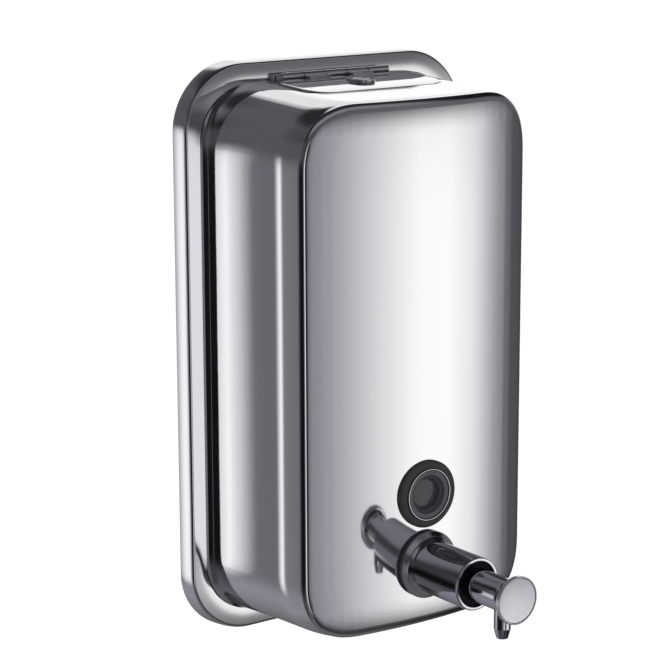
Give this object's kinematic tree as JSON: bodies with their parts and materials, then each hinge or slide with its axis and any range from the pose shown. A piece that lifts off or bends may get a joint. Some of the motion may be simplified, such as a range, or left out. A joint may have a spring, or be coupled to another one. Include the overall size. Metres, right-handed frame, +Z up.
{
  "type": "wall mounted soap dispenser",
  "caption": "Manual push-pump soap dispenser in polished steel: bowed box tank with a rounded rim, hinged lockable filler lid, sight window and a hook-on wall plate.",
  "frame": {"origin": "centre of the four wall-screw holes, on the wall plane", "axes": "+X to the right as seen from the front, +Y into the wall, +Z up; the face looks along -Y"},
  "size_m": [0.131, 0.1217, 0.222],
  "materials": {
    "polished_steel": "mirror polished stainless steel",
    "satin_steel": "satin stainless sheet",
    "chrome": "bright chrome plate",
    "turned_metal": "finely turned",
    "black_rubber": "matt moulded rubber",
    "smoked_lens": "clear smoked plastic",
    "white_plastic": "moulded acetal",
    "black_plastic": "moulded nylon",
    "brass": "turned brass",
    "spring_steel": "drawn wire"
  },
  "bodies": {
    "wall_bracket": {"wall_plate": "satin_steel"},
    "lid": {"lid": "polished_steel", "lid_leaf": "satin_steel", "lock_housing": "chrome", "lock_nut": "brass"},
    "lock": {"lock_plug": "turned_metal", "lock_cam": "satin_steel", "cam_screw": "turned_metal"},
    "plunger": {"piston": "white_plastic", "piston_seal": "black_rubber", "plunger_tube": "turned_metal", "outlet_ball": "turned_metal", "plunger_head": "chrome", "button_cap": "turned_metal", "spout": "chrome"},
    "dispenser": {"rear_panel": "satin_steel", "hanger_straps": "satin_steel", "rear_rim": "polished_steel", "front_shell": "polished_steel", "filler_frame": "satin_steel", "lid_gasket": "black_rubber", "hinge_leaf": "satin_steel", "hinge_pin": "satin_steel", "window_seal": "black_rubber", "window_ring": "chrome", "window_lens": "smoked_lens", "window_washer": "black_rubber", "window_nut": "black_plastic", "pump_gasket": "black_rubber", "pump_flange": "chrome", "pump_barrel": "chrome", "pump_washer": "black_rubber", "pump_nut": "black_plastic", "guide_bush": "white_plastic", "pump_cylinder": "white_plastic", "inlet_elbow": "white_plastic", "inlet_ball": "turned_metal", "intake_tube": "white_plastic", "return_spring": "spring_steel"}
  },
  "joints": [
    {"name": "lift_off", "type": "slide", "parent": "wall_bracket", "child": "dispenser", "axis": [0, 0, 1], "range_m": [0, 0.014]},
    {"name": "lid_hinge", "type": "hinge", "parent": "dispenser", "child": "lid", "pos_m": [0, -0.01179, 0.10404], "axis": [-1, 0, 0], "range_deg": [0, 100]},
    {"name": "lock_turn", "type": "hinge", "parent": "lid", "child": "lock", "pos_m": [0, -0.02819, 0.10175], "axis": [0, 0.0571, -0.9984], "range_deg": [0, 90]},
    {"name": "plunger_push", "type": "slide", "parent": "dispenser", "child": "plunger", "axis": [0, 1, 0], "range_m": [0, 0.01], "stiffness_N_per_m": 400, "springref_m": -0.008, "deforming": ["return_spring"]}
  ]
}
